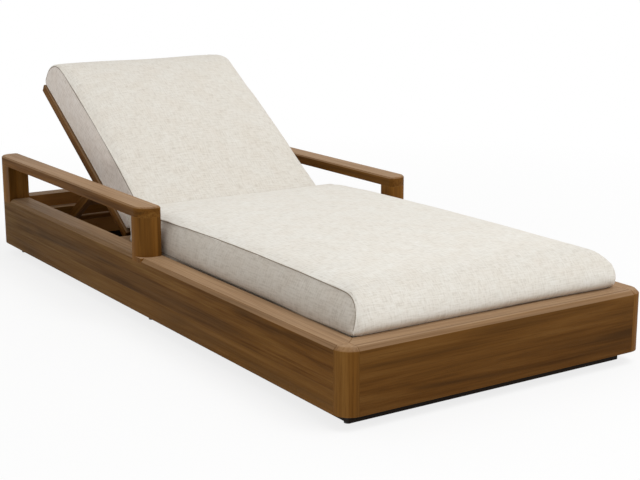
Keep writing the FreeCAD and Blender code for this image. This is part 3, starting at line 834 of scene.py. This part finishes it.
def settle(mesh, gaps, free):
    """Fill the panels out beside the seams, with soft dips, small puckers and a groove along the seam."""
    points = points_of(mesh)
    normals = normals_of(mesh)
    near = np.exp(-gaps / PUCKER_REACH)
    panel = 1 - rising(np.abs(normals[:, 0]), *SIDE_TURN)
    puff = (BOX_PUFF + (TOP_PUFF - BOX_PUFF) * panel) * (1 - np.exp(-gaps / PUFF_REACH))
    wide = np.array([noise.noise(Vector(place) * DIP_SCALE) for place in points])
    small = np.array([noise.noise(Vector(place) * PUCKER_SCALE) for place in points])
    depth = (puff + SOFT_DIP * wide * (1 - near) + PUCKER * small * near) * free
    depth -= GROOVE * np.exp(-(gaps / GROOVE_REACH) ** 2)
    put_points(mesh, points + normals * depth[:, None])


def plump(item, lines, nose, crease_hold):
    """Fill an even-meshed cushion between its seams."""
    mesh = item.data
    points = points_of(mesh)
    normals = normals_of(mesh)
    gaps = nearest(points, lines)
    free = free_share(points, normals, nose, gaps, crease_hold)
    put_points(mesh, points - normals * (SHRINK * free)[:, None])
    swell(item, free)
    settle(mesh, gaps, free)


def corner_bulge(points, low, high):
    """Shift of the points where the filling has settled into one front corner."""
    away = np.linalg.norm(points[:, :2] - np.array([high.x, low.y]), axis=1)
    height = np.clip((points[:, 2] - low.z) / (high.z - low.z), 0, 1)
    bulge = CORNER_BULGE * np.sin(math.pi * height) ** CORNER_POWER * np.exp(-(away / CORNER_REACH) ** 2)
    return bulge[:, None] * np.array(CORNER_AIM)


def overhang(points, low, high):
    """Shift of the points where the lower edge of the front and sides bulges over the rails."""
    x, y, z = points.T
    lift = np.clip(z - OVERHANG_START, 0, None)
    over = OVERHANG * rising(lift, 0, OVERHANG_RISE) * np.exp(-(lift / OVERHANG_FADE) ** 2)
    front = rising(low.y - y, -2 * OVERHANG_DEPTH, OVERHANG_DEPTH)
    flank = rising(np.abs(x) - high.x, -2 * OVERHANG_DEPTH, OVERHANG_DEPTH)
    before_arm = rising(ARM_FRONT - y, 0, ARM_REACH)
    return np.column_stack([np.sign(x) * over * flank * before_arm, -over * front, np.zeros(len(points))])


def slump(points, low, high):
    """Points of the seat cushion, moved to where its filling has settled."""
    return points + corner_bulge(points, low, high) + overhang(points, low, high)


# Cushions

def dress(item, main, side):
    """Put linen on the main panel and on the side panels."""
    mesh = item.data
    mesh.materials.append(main)
    mesh.materials.append(side)
    for face in mesh.polygons:
        face.material_index = 1 if abs(face.normal.x) > SIDE_FACING else 0
        face.use_smooth = True


def filled(name, node, tilt, nose, crease_hold, slumped):
    """Cushion laid flat and filled, and the lines of its seams."""
    item = flat_copy(name, node, tilt)
    points = points_of(item.data)
    low, high = Vector(points.min(axis=0)), Vector(points.max(axis=0))
    solid = surface_of(item)
    lines = [seam_line(solid, low, high, nose, side) for side in SIDES]
    even_mesh(item)
    plump(item, lines, nose, crease_hold)
    if slumped:
        put_points(item.data, slump(points_of(item.data), low, high))
        lines = [slump(line, low, high) for line in lines]
    smooth_mesh(item)
    return item, lines


def trimmings(item, lines, tilt, nose, cloth, hemmed):
    """Piping along the seams of a cushion that still lies flat, and dark cords painted as shadow beside the
    seams and, where asked, over its lower edge.
    """
    cover = surface_of(item)
    cords = [laid_on(cover, line, PIPING_SINK) for line in lines]
    # Lines beside the seams, for dark cords painted as the seams' shadow.
    shadow_lines = [laid_on(cover, beside(line, nose, side), sink=0.0) for line, side in zip(lines, SIDES)]
    # Dark cord over the lower edge, painted as the contact shadow along the rails.
    if hemmed:
        shadow_lines.append(contact_shadow_line(cover, points_of(item.data), nose))
    turned_back = flat_turn(tilt).inverted()
    cord = piping(item.name + "_piping", cords, turned_back, PIPING_RADIUS, cloth)
    # Dark cords painted as shadow, along the lines above.
    thread = piping(item.name + "_seam", shadow_lines, turned_back, SEAM_SHADOW_RADIUS, seam_thread())
    return cord, thread


def sew(name, node, body, tilt, nose, crease_hold, tints, slumped=False):
    """Cushion in place of its solid: swollen panels, piping along the seams and dark cords painted as
    shadow beside them.

    The nose is the cushion's rolled end: -1 towards the foot, 1 towards the head.
    The crease is its other end.
    """
    item, lines = filled(name, node, tilt, nose, crease_hold, slumped)
    main_linen = linen(name + "_main_linen", tilt, nose, False, tints[0])
    # Side panels get their own copy of the linen, tinted with painted shade or light.
    side_linen_painted_shading = linen(name + "_side_linen", tilt, nose, True, tints[1])
    dress(item, main_linen, side_linen_painted_shading)
    trims = trimmings(item, lines, tilt, nose, main_linen, hemmed=slumped)
    item.data.transform(flat_turn(tilt).inverted())
    item.data.update()
    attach(item, body)
    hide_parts(node)
    for trim in trims:
        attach(trim, body)


sew(
    "seat_pad", "seat_cushion", "base", tilt=0.0, nose=-1,
    crease_hold=SEAT_CREASE_HOLD, tints=SEAT_PAINTED_SHADE_TINTS, slumped=True,
)
sew(
    "back_pad", "back_cushion", "backrest", tilt=REST_ANGLE, nose=1,
    crease_hold=BACK_CREASE_HOLD, tints=BACK_PAINTED_LIGHT_TINTS,
)


# Studio

def camera():
    data = bpy.data.cameras.new("camera")
    data.lens = CAMERA_LENS
    data.sensor_width = SENSOR_WIDTH
    data.sensor_fit = "HORIZONTAL"
    item = link(bpy.data.objects.new("camera", data))
    item.location = CAMERA_PLACE
    item.rotation_euler = (CAMERA_TILT, 0, CAMERA_TURN)
    bpy.context.scene.camera = item


def key_lamp():
    data = bpy.data.lights.new("key", "AREA")
    data.energy = KEY_POWER
    data.size = KEY_SIZE
    item = link(bpy.data.objects.new("key", data))
    item.location = KEY_PLACE
    item.rotation_euler = (KEY_AIM - KEY_PLACE).to_track_quat("-Z", "Y").to_euler()


def seen_directly(tree):
    """One for rays from the camera, from mirrors and through glass."""
    path = tree.nodes.new("ShaderNodeLightPath")
    total = path.outputs["Is Camera Ray"]
    for name in ("Is Glossy Ray", "Is Transmission Ray"):
        larger = tree.nodes.new("ShaderNodeMath")
        larger.operation = "MAXIMUM"
        tree.links.new(total, larger.inputs[0])
        tree.links.new(path.outputs[name], larger.inputs[1])
        total = larger.outputs[0]
    return total


def white_world():
    """White all round where it is looked at, and a softer light on the part."""
    world = bpy.data.worlds.new("studio")
    world.use_nodes = True
    tree = world.node_tree
    level = tree.nodes.new("ShaderNodeMapRange")
    level.inputs["To Min"].default_value = AMBIENT
    level.inputs["To Max"].default_value = 1.0
    tree.links.new(seen_directly(tree), level.inputs["Value"])
    tree.links.new(level.outputs["Result"], tree.nodes["Background"].inputs["Strength"])
    tree.nodes["Background"].inputs["Color"].default_value = WHITE
    bpy.context.scene.world = world


def glow_share(shade):
    """How far the floor glows: wholly far away, less near the part and not at all inside its base."""
    place = shade.place()
    away = shade.add("ShaderNodeVectorMath", {0: place}, operation="LENGTH").outputs["Value"]
    around = shade.remap(away, FLOOR_NEAR, FLOOR_FAR, FLOOR_GLOW, 1.0)
    split = shade.split(place)
    beyond_sides, beyond_ends = (
        shade.math("GREATER_THAN", shade.math("ABSOLUTE", split[axis]), reach)
        for axis, reach in zip("XY", FLOOR_SHADED)
    )
    outside = shade.math("MAXIMUM", beyond_sides, beyond_ends)
    return shade.math("MULTIPLY", around, outside)


def pale_floor():
    half = FLOOR_SIZE / 2
    mesh = bpy.data.meshes.new("floor")
    corners = [(-half, -half, 0), (half, -half, 0), (half, half, 0), (-half, half, 0)]
    mesh.from_pydata(corners, [], [(0, 1, 2, 3)])
    shade = Shade("pale_floor")
    shade.set(Base_Color=FLOOR_COLOUR, Roughness=0.9, Specular_IOR_Level=0.1)
    glow = shade.add("ShaderNodeEmission", {"Color": WHITE, "Strength": 1.0})
    share = shade.math("MULTIPLY", seen_directly(shade.tree), glow_share(shade))
    blend = shade.add("ShaderNodeMixShader", {0: share, 1: shade.surface.outputs[0], 2: glow.outputs[0]})
    shade.tree.links.new(blend.outputs[0], shade.tree.nodes["Material Output"].inputs["Surface"])
    mesh.materials.append(shade.material)
    link(bpy.data.objects.new("floor", mesh))


camera()
key_lamp()
white_world()
pale_floor()
bpy.context.scene.view_settings.view_transform = "Standard"
